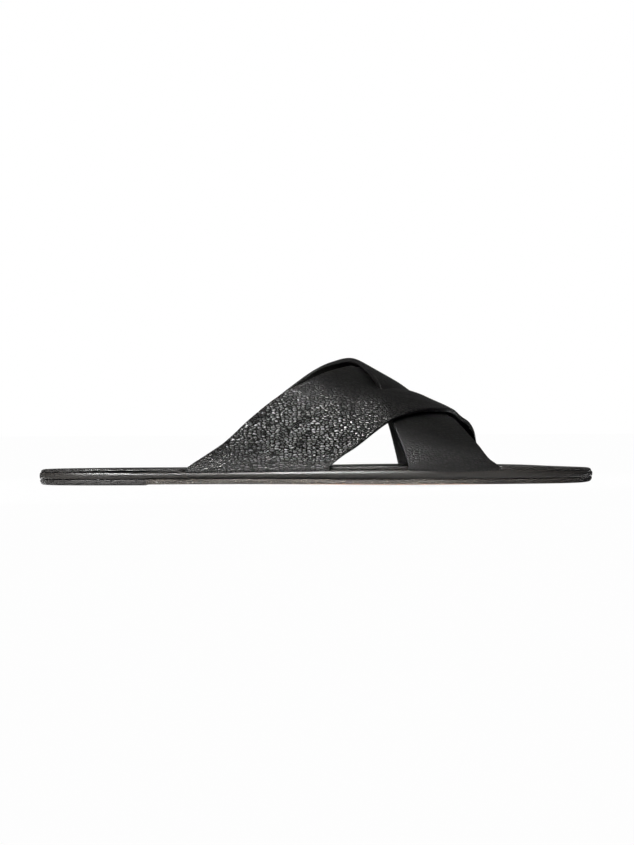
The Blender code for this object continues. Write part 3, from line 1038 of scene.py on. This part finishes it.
def pebbled_leather(looks):
    """Pebble-grained leather: painted shade in its creases, pebbles worn a little glossier on top.

    All of it is weaker where the leather is stretched over the instep."""
    finish, nodes, shader, place = new_finish("pebbled_leather")
    grain = {"Vector": place, "Cells per metre": 1 / looks.pebble}
    grain = nodes.group(pebbled_grain(), grain)
    left = nodes.attribute("grain_left")
    crease = nodes.product(grain["Crease"], left)
    tone = nodes.ramp(grain["Tone"], 0.3, 0.7)
    body = nodes.blend(tone, shade(looks.colour), shade(looks.colour, 1.5))
    gloss = nodes.product(nodes.less(1.0, crease), nodes.line(grain["Pebble"], 0.3, 0.7))
    finest = nodes.noise(place, FINEST_PER_METRE, 2.0)
    height = nodes.line(finest, 0.02, grain["Height"])
    relief = nodes.bump(nodes.product(height, left), looks.relief)
    look = {
        # The creases' colour is blended towards a third of the leather's colour: painted shade.
        "Base Color": nodes.blend(nodes.product(crease, 0.95), body, shade(looks.colour, 0.3)),
        "Roughness": nodes.line(crease, 0.3, 0.5),
        "Specular IOR Level": 0.1,
        "Coat Weight": nodes.product(gloss, nodes.line(left, 0.8, 0.2)),
        "Coat Roughness": 0.34,
        "Coat IOR": 1.65,
        "Normal": relief,
        "Coat Normal": relief,
    }
    nodes.put(shader.inputs, look)
    return finish


def smooth_finish(name, colour):
    """Fine skin in shades of a colour, with the pores and the slow waves of its table row."""
    row = SMOOTH_FINISHES[name]
    cells, (pore, dark, light), pores, (glossy, matte), skin_height, wave_height, specular = row
    finish, nodes, shader, place = new_finish(name)
    skin = nodes.group(fine_skin(), {"Vector": place, "Cells per metre": cells})
    body = nodes.blend(skin["Tone"], shade(colour, dark), shade(colour, light))
    if pores:
        body = nodes.blend(nodes.product(skin["Pores"], pores), body, shade(colour, pore))
    relief = nodes.bump(skin["Height"], skin_height)
    if wave_height:
        relief = nodes.bump(nodes.noise(place, 48.0, 2.0), wave_height, 0.5, relief)
    look = {
        "Base Color": body,
        "Roughness": nodes.ramp(skin["Tone"], 0.2, 0.8, glossy, matte),
        "Specular IOR Level": specular,
        "Normal": relief,
    }
    nodes.put(shader.inputs, look)
    return finish


def waxed_rim(looks):
    """The midsole's rim: stained and waxed leather, with a few faint streaks along it."""
    finish, nodes, shader, place = new_finish("waxed_rim")
    fibres = nodes.group(cut_fibres(), {"Vector": place, "Stretch": (0.167, 0.167, 3.0)})
    grain = nodes.group(pebbled_grain(), {"Vector": place, "Cells per metre": 700.0})
    dark, light = shade(looks.rim_colour, 0.7), shade(looks.rim_colour, 1.5)
    fine = nodes.bump(nodes.line(fibres["Height"], 0.2, grain["Height"]), 0.00002)
    waves = nodes.noise(nodes.stretched(place, (1, 1, 3)), 70.0, 3.0)
    look = {
        "Base Color": nodes.blend(fibres["Tone"], dark, light),
        "Roughness": nodes.ramp(fibres["Tone"], 0.25, 0.75, 0.34, 0.46),
        "Specular IOR Level": 0.36,
        "Normal": nodes.bump(waves, 0.0002, 0.4, fine),
    }
    nodes.put(shader.inputs, look)
    return finish


def tread_leather(looks):
    """The tread layer: a stained fibrous edge, painted shade at the toe, bare leather underneath.

    The stain ends on the lower bevel, at a wavy height over the tread's underside, so a thin
    line of bare leather shows there at the waist and the ball."""
    finish, nodes, shader, place = new_finish("tread_leather")
    fibres = nodes.group(cut_fibres(), {"Vector": place, "Stretch": (1.25, 1.25, 3.0)})
    skin = nodes.group(fine_skin(), {"Vector": place, "Cells per metre": 900.0})
    along = nodes.add("SeparateXYZ", {0: place}).outputs[0]
    worn = nodes.product(nodes.ramp(along, *BARE_COMES), nodes.ramp(along, *BARE_GOES))
    wavy = nodes.product(nodes.product(fibres["Tone"], BARE_HEIGHT), worn)
    above = nodes.less(nodes.attribute("over_ground"), wavy)
    stained = nodes.ramp(above, -BARE_BORDER, BARE_BORDER)
    stained = nodes.product(stained, nodes.ramp(nodes.attribute("side"), 0.2, 0.8))
    dark, light = shade(looks.edge_colour, 0.2), shade(looks.edge_colour, 8.0)
    stain = nodes.blend(nodes.ramp(fibres["Tone"], 0.3, 0.7), shade(looks.edge_colour), dark)
    stain = nodes.blend(nodes.product(fibres["Loose"], 0.8), stain, light)
    # Towards the toe the stain is blended into its darkest shade: painted shade.
    stain = nodes.blend(nodes.ramp(along, *PAINTED_TOE_SHADE, 0.0, 0.85), stain, dark)
    dark, light = shade(looks.tan_colour, 0.72), shade(looks.tan_colour, 1.2)
    bare = nodes.blend(skin["Tone"], dark, light)
    bare = nodes.blend(nodes.product(skin["Pores"], 0.35), bare, dark)
    height = nodes.add("Mix", {"Factor": stained, 2: skin["Height"], 3: fibres["Height"]})
    look = {
        "Base Color": nodes.blend(stained, bare, stain),
        "Roughness": nodes.ramp(fibres["Loose"], 0.0, 1.0, 0.42, 0.7),
        "Specular IOR Level": 0.3,
        "Normal": nodes.bump(height.outputs[0], 0.0006),
    }
    nodes.put(shader.inputs, look)
    return finish


def strap_feet(side):
    """The lengthwise spans of the strap feet on one side of the sole."""
    near_heel = side < 0
    return [strap_edges(-1.0 if near_heel == slit else 1.0, slit) for slit in (True, False)]


def insole_inset(stations):
    """The insole's inset on both sides: its own, and further in where a strap's foot passes."""
    insets = []
    for side in (-1, 1):
        inset = INSOLE_INSET * np.minimum(spline(RIM_PROFILE, 1, share(stations)), 1)
        inset = inset + end_round(0, INSOLE_END_TUCK)(stations)
        for rear, front in strap_feet(side):
            inside = np.minimum(stations - rear, front - stations)
            notch = smooth_step(inside / FIT_GAP / 4 + 1)
            inset = inset + notch * (STRAP_THICKNESS + FIT_GAP - INSOLE_INSET)
        insets.append(inset)
    return np.array(insets)


class SANDAL_OT_straps(bpy.types.Operator):
    """Builds both crossed straps with their grain, painted edges and lining"""

    bl_idname = "sandal.straps"
    bl_label = "Straps"
    bl_options = {"REGISTER", "UNDO"}

    def execute(self, context):
        looks = context.scene.sandal_straps
        edge = smooth_finish("painted_cut_edge", looks.colour)
        finishes = pebbled_leather(looks), edge, smooth_finish("lining_leather", looks.colour)
        for name, slit_strap in (("slit_strap", True), ("plain_strap", False)):
            section, sides, left = strap_section(slit_strap, looks)
            marks = {"grain_left": np.repeat(left, section.shape[1])}
            strap = closed_piece(name, section, (True, True), marks)
            for finish in finishes:
                strap.data.materials.append(finish)
            band = np.where(sides == np.roll(sides, -1), sides, 1)
            index = np.concatenate([np.tile(band, section.shape[0] - 1), [1, 1]])
            strap.data.polygons.foreach_set("material_index", index.astype(np.int32))
            smooth(strap, STRAP_SHARP)
            carry(strap, "upper")
        return {"FINISHED"}


class SANDAL_OT_insole(bpy.types.Operator):
    """Builds the footbed, notched where the straps pass"""

    bl_idname = "sandal.insole"
    bl_label = "Insole"
    bl_options = {"REGISTER", "UNDO"}

    def execute(self, context):
        looks = context.scene.sandal_sole
        edge = end_round(INSOLE_ROUND, INSOLE_END_ROUND)
        levels = rounded_side(footbed_seat, insole_top, insole_inset, even(SEAM_ROUND), edge)
        section, _ = layer_section(HEEL_END, TOE_END, levels, looks.insole_dish)
        finish = smooth_finish("footbed_leather", looks.insole_colour)
        sole_piece("footbed", "insole", section, finish)
        return {"FINISHED"}


class SANDAL_OT_midsole(bpy.types.Operator):
    """Builds the midsole with its rounded, waxed rim"""

    bl_idname = "sandal.midsole"
    bl_label = "Midsole"
    bl_options = {"REGISTER", "UNDO"}

    def execute(self, context):
        section, _ = layer_section(HEEL_END, TOE_END, rim_side())
        sole_piece("rim", "midsole", section, waxed_rim(context.scene.sandal_sole))
        return {"FINISHED"}


class SANDAL_OT_tread(bpy.types.Operator):
    """Builds the tread layer and the heel tap behind it"""

    bl_idname = "sandal.tread"
    bl_label = "Tread and heel tap"
    bl_options = {"REGISTER", "UNDO"}

    def execute(self, context):
        looks = context.scene.sandal_sole
        breast = HEEL_END + TAP_LENGTH
        leather, rubber = tread_leather(looks), smooth_finish("tap_rubber", looks.tap_colour)
        parts = (
            ("tread", "outsole", breast + FIT_GAP, TOE_END, tread_bottom, leather, (True, False)),
            ("tap", "heel_tap", HEEL_END, breast, spring, rubber, (False, True)),
        )
        inset, edge = even(OUTSOLE_INSET), end_round(TREAD_ROUND, TREAD_END_ROUND)
        for name, node, start, end, bottom, finish, closed_ends in parts:
            levels = rounded_side(bottom, tread_top, inset, edge, even(GROOVE_ROUND))
            section, side = layer_section(start, end, levels)
            over_ground = section[..., 2] - bottom(section[..., 0])
            marks = {"side": np.tile(side, section.shape[0]), "over_ground": over_ground}
            sole_piece(name, node, section, finish, closed_ends, marks)
        return {"FINISHED"}


def lamp(name, kind, place, aim, power, **settings):
    """A light of a kind that faces a point."""
    data = bpy.data.lights.new(name, kind)
    data.energy = power
    for key, value in settings.items():
        setattr(data, key, value)
    made = in_scene(name, data)
    made.location = place
    made.rotation_euler = (Vector(aim) - Vector(place)).to_track_quat("-Z", "Y").to_euler()


def spot(name, place, aim, reach, size, power):
    """A soft spot whose pool of light fades out evenly from its middle to its reach."""
    angle = 2 * np.arctan(reach / (Vector(aim) - Vector(place)).length)
    settings = {"shadow_soft_size": size, "spot_size": angle, "spot_blend": 1.0}
    lamp(name, "SPOT", place, aim, power, **settings)


class SANDAL_OT_studio(bpy.types.Operator):
    """Sets up the pale ground, the soft lights and the camera"""

    bl_idname = "sandal.studio"
    bl_label = "Studio"
    bl_options = {"REGISTER", "UNDO"}

    def execute(self, context):
        looks = context.scene.sandal_studio
        self.ground(looks)
        self.surround(context.scene, looks)
        size = looks.key_size
        spot("key", KEY_PLACE, KEY_AIM, looks.key_reach, size, looks.key_power)
        wide, deep = OVERHEAD_SIZE
        sheet = {"shape": "RECTANGLE", "size": wide, "size_y": deep}
        lamp("overhead", "AREA", OVERHEAD_PLACE, OVERHEAD_AIM, looks.fill_power, **sheet)
        place, aim = HEEL_LIGHT_PLACE, HEEL_LIGHT_AIM
        spot("heel", place, aim, HEEL_LIGHT_REACH, size, looks.side_power)
        self.camera(context.scene)
        return {"FINISHED"}

    def camera(self, scene):
        """The camera, level with the sandal's middle and turned slightly, as in the photo."""
        lens = bpy.data.cameras.new("photo_view")
        lens.lens = CAMERA_LENS
        lens.sensor_width = SENSOR
        lens.clip_start, lens.clip_end = CAMERA_CLIP
        camera = in_scene("photo_view", lens)
        level = Matrix.Rotation(np.radians(90 + CAMERA_TILT), 4, "X")
        roll = Matrix.Rotation(np.radians(CAMERA_ROLL), 4, "Z")
        place = Matrix.Translation((CAMERA_SIDE, -CAMERA_DISTANCE, CAMERA_HEIGHT))
        camera.matrix_world = place @ level @ roll
        scene.camera = camera
        scene.view_settings.view_transform = "Standard"

    def ground(self, looks):
        """A wide flat ground: one square at height 0, nearly white in the camera's view."""
        half = GROUND_HALF
        corners = [(-half, -half, 0), (half, -half, 0), (half, half, 0), (-half, half, 0)]
        mesh = bpy.data.meshes.new("ground")
        mesh.from_pydata(corners, [], [(0, 1, 2, 3)])
        ground = in_scene("ground", mesh)
        finish, nodes, shader, place = new_finish("pale_ground")
        colour = looks.ground_colour
        tone = nodes.blend(nodes.noise(place, 3.0, 2.0), shade(colour, 0.97), shade(colour))
        nodes.put(shader.inputs, {"Base Color": tone, "Roughness": 0.9})
        glow = nodes.add("Emission", {"Color": (1, 1, 1, 1), "Strength": 1.0})
        seen = nodes.product(nodes.add("LightPath").outputs["Is Camera Ray"], GROUND_GLOW)
        mix = nodes.add("MixShader", {0: seen, 1: shader.outputs[0], 2: glow.outputs[0]})
        output = finish.node_tree.nodes["Material Output"]
        nodes.put(output.inputs, {"Surface": mix.outputs[0]})
        mesh.materials.append(finish)

    def surround(self, scene, looks):
        """White where the camera sees it, and dimmer as a light and in reflections."""
        world = bpy.data.worlds.new("surround")
        scene.world = world
        world.use_nodes = True
        nodes = Nodes(world.node_tree)
        seen = nodes.add("LightPath").outputs["Is Camera Ray"]
        strength = nodes.line(seen, 1 - looks.surround, looks.surround)
        back = world.node_tree.nodes["Background"]
        nodes.put(back.inputs, {"Color": (1, 1, 1, 1), "Strength": strength})


class SANDAL_PT_panel(bpy.types.Panel):
    """Lists the steps that build the sandal, with their looks"""

    bl_idname = "SANDAL_PT_panel"
    bl_label = "Slide Sandal"
    bl_space_type = "VIEW_3D"
    bl_region_type = "UI"
    bl_category = "Sandal"

    def draw(self, context):
        for name, _, steps in STEPS:
            box = self.layout.box()
            looks = getattr(context.scene, name)
            for key in looks.bl_rna.properties.keys():
                if key not in ("rna_type", "name"):
                    box.prop(looks, key)
            for step in steps:
                box.operator(step.bl_idname)


STEPS = (
    ("sandal_straps", StrapLooks, (SANDAL_OT_straps,)),
    ("sandal_sole", SoleLooks, (SANDAL_OT_insole, SANDAL_OT_midsole, SANDAL_OT_tread)),
    ("sandal_studio", StudioLooks, (SANDAL_OT_studio,)),
)
OPERATORS = tuple(step for _, _, steps in STEPS for step in steps)


def register():
    for name, looks, _ in STEPS:
        bpy.utils.register_class(looks)
        setattr(bpy.types.Scene, name, PointerProperty(type=looks))
    for made in (*OPERATORS, SANDAL_PT_panel):
        bpy.utils.register_class(made)


def unregister():
    for made in (SANDAL_PT_panel, *reversed(OPERATORS)):
        bpy.utils.unregister_class(made)
    for name, looks, _ in reversed(STEPS):
        delattr(bpy.types.Scene, name)
        bpy.utils.unregister_class(looks)


def main():
    register()
    bpy.ops.sandal.straps()
    bpy.ops.sandal.insole()
    bpy.ops.sandal.midsole()
    bpy.ops.sandal.tread()
    bpy.ops.sandal.studio()
    bpy.context.view_layer.update()


if __name__ == "__main__":
    main()
